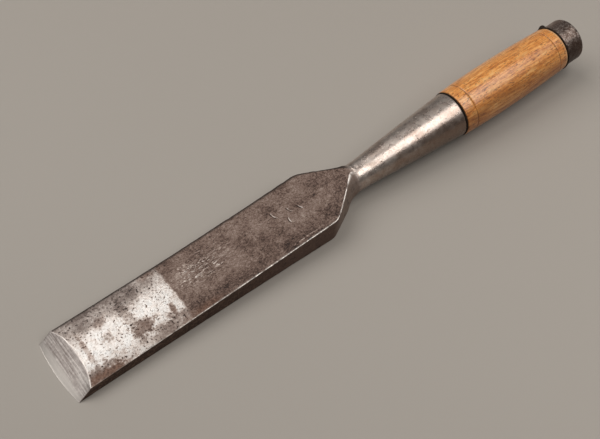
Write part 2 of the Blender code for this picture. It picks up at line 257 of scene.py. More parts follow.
def side_bottom(station):
    return (axis_height(station) - NECK_RADIUS) * ease(station, BACK_END - 0.008, LEFT_CREASE_END)


def crown(station, across):
    fade = max(1 - station / CROWN_LENGTH, 0.0) ** 1.5
    rise = mixed(CROWN_SHOULDER, CROWN_TIP, fade)
    return rise * (1 - abs(across) ** 2.4) * (1 - neck_share(station))


def bevel_end(across):
    return mixed(BEVEL_MIDDLE, BEVEL_SIDE, abs(across) ** 2.6)


def rounded(before, corner, after):
    """Points round an arris between the two flats' last points."""
    shares = [i / (ARRIS_POINTS + 1) for i in range(1, ARRIS_POINTS + 1)]
    return [(1 - t) ** 2 * before + 2 * t * (1 - t) * corner + t * t * after for t in shares]


def wall_points(station, crease, upper, lower, soft):
    """Down one side from just below the top arris to just above the back's: (half-width, height)."""
    back = back_half_width(station)
    bulge = outline(station) - (crease + back) / 2
    neck = neck_share(station)
    trim = min(soft / max(upper - lower, 1e-6), 0.3)
    points = []
    for i in range(WALL_POINTS):
        down = mixed(trim, 1 - trim, i / (WALL_POINTS - 1))
        turn = mixed(math.acos(1 - 2 * down), math.pi * down, neck * (1 - abs(1 - 2 * down)))
        down = (1 - math.cos(turn)) / 2
        width = mixed(crease, back, down) + bulge * math.sin(turn) ** (2 - neck)
        points.append(np.array((width, mixed(upper, lower, down))))
    return points


def section(station, bow=None, lift=1.0):
    """One ring of points round the blade: top from +Y to -Y, right wall, back, left wall.

    bow moves each point along X by its place across, and lift lowers the top towards the edge."""
    shift = bow or (lambda across: 0.0)
    sides = (left_crease(station), right_crease(station))
    edge = station + shift(1.0)
    upper = side_top(edge) * lift
    lower = side_bottom(edge)
    wide = back_half_width(station)
    soft = min(mixed(0.00035, 0.0007, ease(station, 0.03, 0.2)), 0.25 * upper)

    def inset(half):
        """Where a flat of that half width meets its arris."""
        return half - min(soft, 0.3 * half)

    shares = [1 - 2 * i / (FACE_POINTS - 1) for i in range(FACE_POINTS)]
    top = []
    for across in shares:
        place = station + shift(across)
        half = sides[0] if across > 0 else sides[1]
        height = (side_top(place) + crown(place, across)) * lift
        top.append((place, inset(half) * across, height))
    back = [(station + shift(a), -inset(wide) * a, lower) for a in shares]
    walls = []
    for half in sides:
        wall = wall_points(station, half, upper, lower, soft)
        first = rounded(np.array((inset(half), upper)), np.array((half, upper)), wall[0])
        foot = rounded(wall[-1], np.array((wide, lower)), np.array((inset(wide), lower)))
        walls.append(first + wall + foot)
    left = [(edge, y, z) for y, z in reversed(walls[0])]
    right = [(edge, -y, z) for y, z in walls[1]]
    return np.array(top + right + back + left)


WALL_RING = 2 * ARRIS_POINTS + WALL_POINTS
RING = 2 * (FACE_POINTS + WALL_RING)
RIGHT_FIRST = FACE_POINTS
BACK_FIRST = FACE_POINTS + WALL_RING
LEFT_FIRST = BACK_FIRST + FACE_POINTS


def blade_stations():
    """(station, bow, lift, bevel share) for every ring from the cutting edge to the neck."""
    rows = []
    for i in range(BEVEL_ROWS + 1):
        share = (i / BEVEL_ROWS) ** 1.15
        bow = lambda q, t=share: mixed(-EDGE_BOW * (1 - q * q), bevel_end(q), t)
        rows.append((0.0, bow, share, 1.0))
    for i in range(1, BLEND_ROWS + 1):
        share = (i / BLEND_ROWS) ** 1.25
        start = mixed(BEVEL_MIDDLE, BLEND_END, share)
        bow = lambda q, t=(1 - share) ** 1.5: (bevel_end(q) - BEVEL_MIDDLE) * t
        rows.append((start, bow, 1.0, 0.0))
    blade = spaced(BLEND_END + 0.0008, NECK_START, BLADE_STEP)
    neck = spaced(NECK_START, CONE_START, NECK_STEP)
    return rows + [(station, None, 1.0, 0.0) for station in blade + neck]


def cone_radius(station):
    """Outside of the socket, with the faint swell a forged cone has."""
    share = min(max((station - SOCKET_WAIST) / (SOCKET_MOUTH - SOCKET_WAIST), -0.1), 1.0)
    return mixed(WAIST_RADIUS, MOUTH_RADIUS, share) + SOCKET_SWELL * math.sin(math.pi * max(share, 0.0))


def polar(ring, station):
    """The ring as angles from the crest, towards +Y, and distances from the tool's axis."""
    y = ring[:, 1]
    z = ring[:, 2] - axis_height(station)
    return np.unwrap(np.arctan2(y, z)), np.hypot(y, z)


def even_angles():
    """One full turn of evenly spaced angles, in the ring's own order: -Y is reached first."""
    first = math.pi * FACE_POINTS / RING
    return first - 2 * math.pi * np.arange(RING) / RING


def ring_about_axis(station, angles, radii, tilt=1.0):
    """Points round the axis, on a plane that tilt turns from upright to square with the axis."""
    turned = axis_point(station)
    centre = Vector((mixed(station + EDGE_X, turned.x, tilt), 0.0,
                     mixed(axis_height(station), turned.z, tilt)))
    up = Vector((0, 0, 1)).lerp(UPRIGHT, tilt)
    points = np.zeros((len(angles), 3))
    points[:, 0] = centre.x + radii * np.cos(angles) * up.x
    points[:, 1] = radii * np.sin(angles)
    points[:, 2] = centre.z + radii * np.cos(angles) * up.z
    return points


def neck_ring(station):
    """Between the flat-topped shoulder and the cone, the points spread out evenly round the axis."""
    spread = ease(station, CREASE_END + 0.0005, SOCKET_WAIST + 0.003)
    ring = section(station)
    angles, radii = polar(ring, station)
    cone = cone_radius(station) if station > SOCKET_START else 0.0
    wanted = mixed(angles, even_angles(), spread)
    order = np.argsort(angles)
    turns = np.concatenate([angles[order] - 2 * math.pi, angles[order], angles[order] + 2 * math.pi])
    reach = np.tile(radii[order], 3)
    found = np.interp(wanted, turns, reach)
    found = found + NECK_BLEND * np.logaddexp(0.0, (cone - found) / NECK_BLEND)
    merged = mixed(found, cone, ease(station, SOCKET_WAIST, NECK_END))
    return ring_about_axis(station, wanted, merged, ease(station, CREASE_END, NECK_END))


# ---- meshes ----
def outward(rows):
    """Unit normals of a grid of points that closes on itself along its second direction."""
    along = np.gradient(rows, axis=0)
    around = np.roll(rows, -1, axis=1) - np.roll(rows, 1, axis=1)
    normals = np.cross(around, along)
    return normals / np.maximum(np.linalg.norm(normals, axis=2, keepdims=True), 1e-12)


def new_object(name, data):
    made = bpy.data.objects.new(name, data)
    bpy.context.scene.collection.objects.link(made)
    return made


def surface(name, rows, marks, material, capped=False):
    """A smooth piece over rows of points. Each row closes on itself, and so do the rows unless capped.

    Each mark is a float on every point, which the shader reads."""
    count, ring = rows.shape[:2]
    index = np.arange(count * ring).reshape(count, ring)
    after = np.roll(index, -1, axis=1)
    quads = np.stack([index, after, np.roll(after, -1, axis=0), np.roll(index, -1, axis=0)], axis=2)
    caps = [index[0, ::-1].tolist(), index[-1].tolist()] if capped else []
    quads = quads[:-1] if capped else quads
    mesh = bpy.data.meshes.new(name)
    mesh.from_pydata(rows.reshape(-1, 3).tolist(), [], quads.reshape(-1, 4).tolist() + caps)
    for mark, values in marks.items():
        attribute = mesh.attributes.new(mark, "FLOAT", "POINT")
        attribute.data.foreach_set("value", values.astype(np.float32).ravel())
    mesh.materials.append(material)
    mesh.shade_smooth()
    return new_object(name, mesh)


def densified(profile, step):
    """The (station, radius) points, with more put in so that none are further apart than step."""
    points = []
    for (s0, r0), (s1, r1) in zip(profile, profile[1:]):
        count = max(1, math.ceil(math.hypot(s1 - s0, r1 - r0) / step))
        points += [(mixed(s0, s1, i / count), mixed(r0, r1, i / count)) for i in range(count)]
    return points


def rounded_edge(end, radius, reach, steps, side=1):
    """Points from a turned side to its end face: side is 1 at the rear end, -1 at the front."""
    turns = [math.pi / 2 * i / steps for i in range(steps + 1)]
    return [(end - side * reach * (1 - math.sin(turn)), radius - reach * (1 - math.cos(turn)))
            for turn in turns]


def dented(rows, dents):
    """How far every point sinks into the dents: (centre, radius, depth) each."""
    sunk = np.zeros(rows.shape[:2])
    for centre, radius, depth in dents:
        near = np.abs(rows[:, :, 0].mean(axis=1) - centre[0]) < radius + 0.008
        away = np.linalg.norm(rows[near] - centre, axis=2) / radius
        sunk[near] += depth * np.clip(1 - away ** 2, 0, 1) ** 2
    return sunk


def scattered(rows, count, sizes, depths, seed):
    """Dents at random points of the rows."""
    pick = random.Random(seed)
    dents = []
    for _ in range(count):
        centre = rows[pick.randrange(rows.shape[0]), pick.randrange(rows.shape[1])]
        dents.append((centre, pick.uniform(*sizes), pick.uniform(*depths)))
    return dents


def grained(rows, height, size, seed):
    flat = [grain(point, size, seed) for point in rows.reshape(-1, 3)]
    return height * np.array(flat).reshape(rows.shape[:2])


# ---- nodes ----
class Paint:
    """A material being built: each method adds nodes and hands back an output socket."""

    def __init__(self, name):
        self.material = bpy.data.materials.new(name)
        self.material.use_nodes = True
        self.tree = self.material.node_tree
        self.shader = self.tree.nodes["Principled BSDF"]
        self.here = self.add("ShaderNodeTexCoord", {}).outputs["Object"]
        split = self.add("ShaderNodeSeparateXYZ", {"Vector": self.here})
        self.y = split.outputs["Y"]
        self.station = self.minus(split.outputs["X"], EDGE_X)
        rise = self.times(self.minus(split.outputs["X"], STRUCK.x), AXIS.z / AXIS.x)
        self.above = self.minus(self.minus(split.outputs["Z"], STRUCK.z), rise)  # above the axis

    def add(self, kind, inputs, **settings):
        node = self.tree.nodes.new(kind)
        for key, value in settings.items():
            setattr(node, key, value)
        for key, value in inputs.items():
            self.put(node.inputs[key], value)
        return node

    def put(self, socket, value):
        if isinstance(value, bpy.types.NodeSocket):
            self.tree.links.new(value, socket)
        elif socket.type == "RGBA":
            socket.default_value = (*value, 1.0)
        else:
            socket.default_value = value

    def math(self, operation, first, second=0.0, clamp=False):
        return self.add("ShaderNodeMath", {0: first, 1: second}, operation=operation,
                        use_clamp=clamp).outputs[0]

    def joined(self, operation, values):
        """All the values taken together, two at a time."""
        result = values[0]
        for value in values[1:]:
            result = self.math(operation, result, value)
        return result

    def times(self, *values):
        return self.joined("MULTIPLY", values)

    def plus(self, *values, clamp=False):
        return self.math("ADD", self.joined("ADD", values[:-1]), values[-1], clamp)

    def most(self, *values):
        return self.joined("MAXIMUM", values)

    def minus(self, first, second):
        return self.math("SUBTRACT", first, second)

    def flip(self, value):
        return self.minus(1.0, value)

    def mark(self, name):
        return self.add("ShaderNodeAttribute", {}, attribute_name=name).outputs["Fac"]

    def along(self, turn=0.0, stretch=(1.0, 1.0, 1.0), shift=(0.0, 0.0, 0.0)):
        """The object's own place, turned about Y, then stretched by axis."""
        turned = self.add("ShaderNodeMapping", {"Vector": self.here, "Rotation": (0.0, turn, 0.0)})
        return self.add("ShaderNodeMapping", {"Vector": turned.outputs[0], "Scale": stretch,
                                              "Location": shift}).outputs[0]

    def noise(self, size, detail=3.0, rough=0.55, where=None, warp=0.0):
        return self.add("ShaderNodeTexNoise", {"Vector": where or self.here, "Scale": 1 / size,
                                               "Detail": detail, "Roughness": rough,
                                               "Distortion": warp}).outputs["Fac"]

    def cells(self, size, where=None, feature="F1"):
        return self.add("ShaderNodeTexVoronoi", {"Vector": where or self.here, "Scale": 1 / size},
                        feature=feature).outputs["Distance"]

    def between(self, value, low, high, start=0.0, end=1.0):
        """start below low, end above high, smooth between; high may be the lower one."""
        return self.add("ShaderNodeMapRange", {"Value": value, "From Min": low, "From Max": high,
                                               "To Min": start, "To Max": end},
                        interpolation_type="SMOOTHSTEP").outputs[0]

    def ramp(self, value, *stops):
        """A colour ramp, with stops of (position, red, green, blue)."""
        node = self.add("ShaderNodeValToRGB", {"Fac": value})
        elements = node.color_ramp.elements
        while len(elements) < len(stops):
            elements.new(0.5)
        for element, (position, *colour) in zip(elements, stops):
            element.position = position
            element.color = (*colour, 1.0)
        return node.outputs["Color"]

    def mix(self, share, first, second):
        return self.add("ShaderNodeMix", {0: share, 6: first, 7: second}, data_type="RGBA").outputs[2]

    def patch(self, spot, ragged):
        """Its strength inside an irregular spot (see STAINS), and 0 outside it."""
        station, across, length, width, softness, strength = spot
        x = self.math("DIVIDE", self.minus(self.station, station), length)
        y = self.math("DIVIDE", self.minus(self.y, across), width)
        away = self.math("SQRT", self.plus(self.times(x, x), self.times(y, y)))
        inside = self.between(self.plus(away, ragged), 1.0 + softness, 1.0 - softness)
        return self.times(inside, strength)

    def patches(self, spots, ragged):
        return self.most(*(self.patch(spot, ragged) for spot in spots))

    def finish(self, colour, roughness, metallic, height, depth):
        bump = self.add("ShaderNodeBump", {"Height": height, "Distance": depth, "Strength": 1.0})
        self.put(self.shader.inputs["Normal"], bump.outputs[0])
        self.put(self.shader.inputs["Base Color"], colour)
        self.put(self.shader.inputs["Roughness"], roughness)
        self.put(self.shader.inputs["Metallic"], metallic)
        return self.material


# ---- finishes ----
def steel_finish():
    """Patinated forged steel: bright ground front, bevel with grinding lines, burnished arrises.

    One value, polish, runs from dark pits at 0 over brown patina to bright metal at 1."""
    p = Paint("worn_steel")
    broad = p.noise(0.017, 4.0, 0.6)
    middle = p.noise(0.0050, 4.0, 0.64)
    fine = p.noise(0.0017, 4.0, 0.68, p.along(shift=(5, 2, 8)))
    tiny = p.noise(0.0007, 3.0, 0.6, p.along(stretch=(0.6, 1, 1), shift=(1, 1, 6)))
    swing, sparkle, grit = (p.minus(value, 0.5) for value in (middle, fine, tiny))
    ragged = p.plus(p.times(swing, 1.9), p.times(sparkle, 1.3))
    wall, bevel, arris = p.mark("wall"), p.mark("bevel"), p.mark("arris")
    socket, bore = p.mark("socket"), p.mark("bore")

    # patina: brown-grey clouds, darker towards -Y, lighter where it was scuffed or rolled over
    darker = p.between(p.plus(p.y, p.times(swing, 0.010)), -0.0090, -0.0190, 0.0, -0.10)
    scuffs = p.noise(0.0017, 3.0, 0.7, p.along(stretch=(0.36, 1.0, 1.0)), 1.2)
    scuffed = p.times(p.patch(SCUFF, ragged), p.between(scuffs, 0.50, 0.58))
    rolled = p.times(p.between(p.math("ABSOLUTE", p.plus(p.y, 0.0212)), 0.0006, 0.0002),
                     p.between(p.station, 0.166, 0.174), p.between(p.station, 0.196, 0.186),
                     p.between(fine, 0.38, 0.55))
    patina = p.plus(p.between(broad, 0.34, 0.68, 0.17, 0.34), p.times(swing, 0.46),
                    p.times(sparkle, 0.62), p.times(grit, 0.80), darker,
                    p.times(scuffed, 0.42), p.times(rolled, 0.40))

    # the front of the top face was ground bright, and has stained since
    wandering = p.plus(p.y, p.times(swing, 0.020))
    # painted shade: left darkens the ground front towards +Y, where its highlight falls off
    left = p.between(wandering, 0.0020, 0.0165)
    right = p.between(wandering, -0.0105, -0.0200)
    crowded = p.noise(0.0075, 3.0, 0.6, p.along(shift=(4, 1, 2)))
    specks = p.between(p.noise(0.0016, 2.0, 0.6, p.along(shift=(1, 7, 3))), 0.60, 0.66)
    ground = p.plus(0.80, p.times(left, p.between(p.station, 0.055, 0.075, -0.35, -0.20)),
                    p.times(right, p.between(p.station, 0.045, 0.068, -0.08, -0.43)),
                    p.times(p.patches(STAINS, ragged), -0.33),
                    p.times(specks, p.between(crowded, 0.36, 0.58, -0.28, -0.64)),
                    p.times(p.minus(broad, 0.5), 0.7), p.times(swing, 0.55),
                    p.times(sparkle, 0.45), p.times(grit, 0.45))
    ground_edge = p.plus(p.station, p.times(swing, 0.006), p.times(sparkle, 0.004))
    front = p.between(ground_edge, GROUND_END + 0.0012, GROUND_END - 0.0012)
    polish = p.plus(patina, p.times(front, p.minus(ground, patina)))
    # the dings' slopes carry a painted highlight and painted shade, besides their bump
    bright, dark = dings_of(p)
    polish = p.plus(polish, p.times(bright, p.between(fine, 0.36, 0.54, 0.18, 0.40)),
                    p.times(dark, -0.25), clamp=True)

    top = p.ramp(polish, (0.0, 0.034, 0.020, 0.016), (0.16, 0.128, 0.080, 0.062),
                 (0.34, 0.245, 0.172, 0.140), (0.58, 0.400, 0.322, 0.278), (0.95, 0.565, 0.545, 0.524))
    silvery = p.ramp(polish, (0.0, 0.045, 0.038, 0.035), (0.34, 0.240, 0.205, 0.188),
                     (0.58, 0.390, 0.352, 0.330), (0.95, 0.565, 0.548, 0.530))
    top = p.mix(p.times(front, p.plus(0.25, p.times(left, 0.30))), top, silvery)
    rust = p.ramp(fine, (0.35, 0.085, 0.038, 0.023), (0.65, 0.240, 0.125, 0.080))
    top = p.mix(p.times(p.patches(RUST, ragged), 0.75), top, rust)

    # the honed bevel, with lines parallel to the edge
    lines = p.noise(0.0011, 4.0, 0.7, p.along(stretch=(1.0, 0.030, 0.6)))
    honed = p.ramp(p.plus(lines, p.times(p.plus(swing, sparkle), 0.35)), (0.34, 0.300, 0.255, 0.235),
                   (0.50, 0.510, 0.450, 0.420), (0.64, 0.740, 0.680, 0.640))
    strip = p.between(p.plus(p.station, p.times(p.minus(lines, 0.5), 0.006)), 0.0036, 0.0016)
    honed = p.mix(p.times(strip, 0.8), honed, (0.640, 0.590, 0.545))
    top = p.mix(bevel, top, honed)

    # side walls are nearly black and turn earthy at the shoulders
    side = p.mix(p.between(p.station, 0.10, 0.19), (0.064, 0.0370, 0.0270), (0.104, 0.064, 0.050))
    side = p.mix(p.between(p.station, 0.200, 0.214), side, (0.215, 0.162, 0.134))
    scaly = p.between(p.plus(fine, p.times(swing, 0.5)), 0.45, 0.66, 0.0, 0.6)
    side = p.mix(scaly, side, (0.170, 0.108, 0.080))
    side = p.mix(p.between(middle, 0.46, 0.30, 0.0, 0.6), side, (0.026, 0.015, 0.012))
    colour = p.mix(wall, top, side)

    # the socket is barer steel, with painted shade towards -Y and painted shade underneath
    bare = p.plus(0.52, p.times(swing, 0.34), p.times(sparkle, 0.55), p.times(grit, 0.5))
    barer = p.ramp(bare, (0.24, 0.110, 0.072, 0.060), (0.36, 0.420, 0.345, 0.305),
                   (0.52, 0.545, 0.460, 0.408), (0.70, 0.660, 0.590, 0.540))
    clouds = p.noise(0.010, 3.0, 0.6, p.along(stretch=(0.5, 1, 1), shift=(7, 3, 3)))
    barer = p.mix(p.between(clouds, 0.47, 0.66, 0.0, 0.6), barer, (0.360, 0.258, 0.207))
    # painted shade: browner and darker towards -Y
    painted_near_shade = p.between(p.plus(p.y, p.times(swing, 0.006)), -0.0060, -0.0160)
    barer = p.mix(p.times(painted_near_shade, 0.85), barer, (0.165, 0.110, 0.082))
    # painted shade: dark underneath the socket
    barer = p.mix(p.between(p.above, -0.0050, -0.0095, 0.0, 0.85), barer, (0.045, 0.028, 0.022))
    colour = p.mix(socket, colour, barer)

    # rubbed arrises with a painted highlight along the bevel's heel, the dark rim along +Y and the bore
    streaky = p.noise(0.0042, 4.0, 0.7, p.along(stretch=(1.0, 0.2, 0.2), shift=(2, 2, 2)))
    burnish_and_highlight = p.times(p.most(arris, p.mark("heel")), p.between(streaky, 0.36, 0.56, 0.18, 1.0))
    colour = p.mix(burnish_and_highlight, colour, (0.880, 0.810, 0.750))
    colour = p.mix(p.times(p.mark("far_rim"), 0.9), colour, (0.026, 0.017, 0.013))
    colour = p.mix(bore, colour, (0.035, 0.024, 0.018))

    shiny = p.most(p.times(p.between(polish, 0.30, 0.85), p.flip(wall)), bevel, burnish_and_highlight)
    metallic = p.times(p.between(p.most(shiny, p.times(socket, 0.80)), 0.0, 1.0, 0.25, 1.0),
                       p.flip(p.times(p.most(bore, wall), 0.95)))
    roughness = p.plus(p.between(middle, 0.3, 0.7, 0.46, 0.56), p.times(shiny, -0.14),
                       p.times(socket, -0.22), p.times(wall, 0.25),
                       p.times(p.between(fine, 0.42, 0.30), 0.22), clamp=True)
    p.put(p.shader.inputs["Specular IOR Level"], 0.2)

    pits = p.between(p.cells(0.0021, p.along(shift=(3, 1, 2))), 0.28, 0.10)
    sparse = p.between(p.noise(0.006, 2.0, 0.5, p.along(shift=(9, 4, 1))), 0.48, 0.60)
    height = p.plus(p.times(middle, p.between(socket, 0.0, 1.0, 0.5, 0.15)), p.times(fine, 0.45),
                    p.times(pits, sparse, -0.6), p.times(scuffed, 0.25),
                    p.times(p.plus(bright, dark), -0.9))
    height = p.plus(p.times(height, p.between(bevel, 0.0, 1.0, 1.0, 0.20)), p.times(lines, bevel, 0.30))
    return p.finish(colour, roughness, metallic, height, 0.00022)


def dings_of(p):
    """The struck dings near the shoulders: their slopes painted lighter as a painted highlight, and
    their slopes painted darker as painted shade.
    """
    slopes = []
    for low, high in ((0.00002, 0.00060), (-0.00075, -0.00010)):
        found = []
        for station, across, lean, half in DINGS:
            away = p.minus(p.y, across)
            line = p.plus(p.minus(p.station, station), p.times(away, lean), p.times(away, away, -70.0))
            found.append(p.times(p.between(line, low - 0.00025, low + 0.0001),
                                 p.between(line, high + 0.00025, high - 0.0001),
                                 p.between(p.math("ABSOLUTE", away), half + 0.0003, half - 0.0004)))
        slopes.append(p.plus(*found))
    return slopes


def wood_finish():
    """Orange-brown hardwood, turned and oiled: streaks and open pores along the grip."""
    p = Paint("oiled_wood")
    turn = math.asin(AXIS.z)
    figure = p.noise(0.0056, 3.0, 0.5, p.along(turn, (0.16, 1.0, 1.0)), 1.6)
    streaks = p.noise(0.0011, 4.0, 0.66, p.along(turn, (0.060, 1.0, 1.0)), 0.5)
    clouds = p.noise(0.020, 3.0, 0.5, p.along(turn, (0.5, 1.0, 1.0), (4, 2, 7)))
    pores = p.noise(0.0008, 2.0, 0.55, p.along(turn, (0.32, 1.0, 1.0), (2, 5, 1)))
    mottle = p.noise(0.0022, 3.0, 0.6, p.along(turn, (0.6, 1.0, 1.0), (6, 1, 3)))
    rings = p.add("ShaderNodeTexWave", {"Vector": p.along(turn, (0.16, 1.0, 0.7), (0.0, 0.02, 0.05)),
                                        "Scale": 62.0, "Distortion": 6.0, "Detail": 3.0,
                                        "Detail Scale": 1.5}, bands_direction="Y").outputs["Fac"]
    tone = p.plus(p.times(figure, 0.28), p.times(streaks, 0.66), p.times(mottle, 0.36))
    colour = p.ramp(p.plus(p.times(tone, 1.10), -0.213),
                    (0.32, 0.340, 0.098, 0.014), (0.44, 0.680, 0.228, 0.038),
                    (0.54, 0.910, 0.382, 0.088), (0.65, 0.965, 0.530, 0.190))
    colour = p.mix(p.between(rings, 0.60, 1.0, 0.0, 0.30), colour, (0.40, 0.125, 0.022))
    colour = p.mix(p.between(clouds, 0.52, 0.70, 0.0, 0.35), colour, (0.84, 0.40, 0.12))
    open_pores = p.times(p.between(pores, 0.585, 0.65), p.between(clouds, 0.34, 0.52, 1.0, 0.65))

    # painted shade: darker towards -Y and underneath, where the grip's lower side falls in shade
    wandering = p.plus(p.y, p.times(p.minus(figure, 0.5), 0.008))
    painted_low_shade = p.most(p.between(wandering, -0.0115, -0.0195, 0.0, 0.50),
                     p.between(p.above, -0.0050, -0.0115, 0.0, 0.90))
    colour = p.mix(painted_low_shade, colour, (0.130, 0.040, 0.009))
    colour = p.mix(p.times(open_pores, 0.85), colour, (0.130, 0.045, 0.013))

    # scribed rings, rear rim, bare tenon and struck end
    groove, hidden = p.mark("groove"), p.mark("hidden")
    faint = p.noise(0.004, 3.0, 0.6, p.along(turn, shift=(8, 8, 2)))
    scratched = p.times(groove, p.between(faint, 0.34, 0.60, 0.45, 1.0))
    colour = p.mix(scratched, colour, (0.15, 0.050, 0.016))
    colour = p.mix(p.times(p.mark("rim"), 0.65), colour, (0.80, 0.49, 0.25))
    raw = p.ramp(p.plus(p.times(streaks, 0.6), p.times(mottle, 0.4)), (0.40, 0.270, 0.140, 0.060),
                 (0.50, 0.440, 0.265, 0.135), (0.60, 0.560, 0.380, 0.220))
    colour = p.mix(hidden, colour, raw)
    soiled = p.plus(0.45, p.times(p.between(p.noise(0.009, 4.0, 0.6), 0.46, 0.62), 0.5))
    colour = p.mix(p.times(p.mark("end_grain"), soiled), colour, (0.085, 0.045, 0.025))

    roughness = p.between(p.plus(p.times(streaks, 0.5), p.times(open_pores, 0.5)), 0.2, 0.7, 0.34, 0.52)
    height = p.plus(p.times(streaks, -0.4), p.times(mottle, 0.3), p.times(open_pores, -0.8))
    coat = p.times(p.between(groove, 0.0, 0.5, 1.0, 0.0), p.flip(hidden),
                   p.between(p.y, -0.0125, -0.0180, 1.0, 0.25))
    p.put(p.shader.inputs["Coat Weight"], coat)
    p.put(p.shader.inputs["Coat Roughness"], 0.31)
    return p.finish(colour, roughness, 0.0, height, 0.00016)


def leather_finish():
    """Washer leather, blackened and dried out."""
    p = Paint("black_leather")
    creases = p.cells(0.0011, feature="DISTANCE_TO_EDGE")
    fine = p.noise(0.0007, 3.0, 0.6)
    colour = p.mix(p.between(fine, 0.4, 0.65), (0.012, 0.008, 0.006), (0.040, 0.026, 0.018))
    colour = p.mix(p.between(p.noise(0.003), 0.56, 0.7, 0.0, 0.6), colour, (0.085, 0.048, 0.028))
    height = p.plus(p.between(creases, 0.0, 0.12), p.times(fine, 0.6))
    p.put(p.shader.inputs["Specular IOR Level"], 0.2)
    return p.finish(colour, p.between(fine, 0.3, 0.7, 0.62, 0.85), 0.0, height, 0.00005)


def iron_finish():
    """Dark wrought iron, rubbed bare in specks, with painted shade towards -Y and a lighter brown
    towards +Y.
    """
    p = Paint("hoop_iron")
    middle = p.noise(0.0042, 4.0, 0.62)
    fine = p.noise(0.0013, 4.0, 0.66)
    colour = p.ramp(p.plus(p.times(middle, 0.55), p.times(fine, 0.45)), (0.36, 0.085, 0.052, 0.039),
                    (0.50, 0.160, 0.112, 0.092), (0.62, 0.300, 0.235, 0.202))
    # painted shade: darker towards -Y, the hoop's lower side
    shade_painted_side = p.between(p.plus(p.y, p.times(p.minus(middle, 0.5), 0.006)), -0.0100, -0.0150)
    colour = p.mix(p.times(shade_painted_side, 0.75), colour, (0.034, 0.018, 0.012))
    colour = p.mix(p.between(p.y, 0.0020, 0.0110, 0.0, 0.55), colour, (0.330, 0.215, 0.170))
    colour = p.mix(p.between(p.noise(0.012), 0.5, 0.68, 0.0, 0.4), colour, (0.120, 0.070, 0.050))
    bare = p.between(p.plus(p.times(fine, 0.75), p.times(middle, 0.35)), 0.63, 0.72)
    bare = p.most(p.times(bare, 0.5), p.times(p.mark("worn"), p.between(fine, 0.46, 0.60), 0.9))
    bare = p.times(bare, p.between(shade_painted_side, 0.0, 1.0, 1.0, 0.15))
    colour = p.mix(bare, colour, (0.60, 0.52, 0.47))
    roughness = p.plus(p.between(fine, 0.35, 0.7, 0.30, 0.42), p.times(shade_painted_side, 0.12))
    pits = p.between(p.cells(0.0017), 0.30, 0.08)
    height = p.plus(p.times(middle, 0.5), p.times(fine, 0.6), p.times(pits, -0.5))
    return p.finish(colour, roughness, p.between(bare, 0.0, 1.0, 0.82, 0.95), height, 0.00018)


def floor_finish():
    """Plain warm grey board with a faint unevenness."""
    p = Paint("floor_board")
    cloud = p.noise(0.35, 2.0, 0.5)
    colour = p.mix(cloud, (0.408, 0.368, 0.326), (0.424, 0.383, 0.340))
    return p.finish(colour, 0.62, 0.0, p.noise(0.002), 0.00002)


# ---- pieces ----
def place_piece(piece, node, body):
    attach(piece, body)
    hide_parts(node)


def steel_rows():
    """The rings of the whole forging, with the station, bevel share and bore share of each."""
    rows = []
    for station, bow, lift, bevel in blade_stations():
        if station < CREASE_END:
            ring = section(station, bow, lift)
            ring[:, 0] += EDGE_X
        else:
            ring = neck_ring(station)
        rows.append((ring, station, bevel, 0.0))
    mouth, bore_start = SOCKET_MOUTH, SOCKET_MOUTH - BORE_CHAMFER[0]
    outside = [(s, cone_radius(s)) for s in spaced(CONE_START, mouth - LIP, CONE_STEP)]
    outside += [(mouth - LIP, MOUTH_RADIUS), (mouth - 0.3 * LIP, MOUTH_RADIUS - 0.3 * LIP),
                (mouth, MOUTH_RADIUS - LIP), (mouth, BORE_MOUTH + BORE_CHAMFER[1]),
                (bore_start, BORE_MOUTH)]
    shares = [i / BORE_ROWS for i in range(1, BORE_ROWS + 1)]
    inside = [(BORE_END + (bore_start - BORE_END) * (1 - t), mixed(BORE_MOUTH, BORE_BOTTOM, t))
              for t in shares]
    inside += [(BORE_END - BORE_POINT * 0.6, BORE_BOTTOM * 0.4), (BORE_END - BORE_POINT, 0.0002)]
    for points, bore in ((outside, 0.0), (inside, 1.0)):
        for station, radius in points:
            rows.append((ring_about_axis(station, even_angles(), radius), station, 0.0, bore))
    return [np.array(column) for column in zip(*rows)]


def steel_marks(rows, stations, bevels, inside):
    """Where the shader finds walls, arrises, bevel, socket and bore."""
    column = np.arange(RING)
    right_wall = (column >= RIGHT_FIRST + 2) & (column < BACK_FIRST)
    left_wall = (column >= LEFT_FIRST) & (column < RING - 2)
    on_blade = eased(stations, CREASE_END - 0.001, CREASE_END + 0.003, 1.0, 0.0)
    wall = np.outer(on_blade, (right_wall | left_wall).astype(float))
    ridge = np.zeros(RING)
    ridge[RIGHT_FIRST - 1:RIGHT_FIRST + 3] = (0.25, 1.0, 1.0, 0.4)
    left = np.zeros(RING)
    left[RING - 3:] = (0.3, 0.8, 0.8)
    strength = eased(stations, 0.015, 0.120, 0.25, 1.0)
    faded = eased(stations, 0.05, 0.2, 0.15, 0.35)
    arris = np.outer(on_blade * strength, ridge) + np.outer(on_blade * faded, left)
    bevel = np.outer(bevels, (column < FACE_POINTS).astype(float))
    rim = np.zeros(RING)
    rim[RING - 4:] = 1.0
    rim[:3] = (1.0, 0.8, 0.25)
    far_rim = np.outer(on_blade * (1 - bevels), rim)
    socket = eased(stations, CREASE_END - 0.0005, CREASE_END + 0.004)
    # a painted highlight along the bevel's heel, stronger towards -Y
    heel = np.zeros(rows.shape[:2])
    heel[BEVEL_ROWS, :FACE_POINTS] = np.linspace(0.1, 1.0, FACE_POINTS)
    heel[BEVEL_ROWS + 1, :FACE_POINTS] = np.linspace(0.1, 0.8, FACE_POINTS)
    return {"wall": wall, "arris": arris, "bevel": bevel, "far_rim": far_rim, "heel": heel,
            "socket": np.outer(socket * (1 - inside), np.ones(RING)),
            "bore": np.outer(inside, np.ones(RING))}


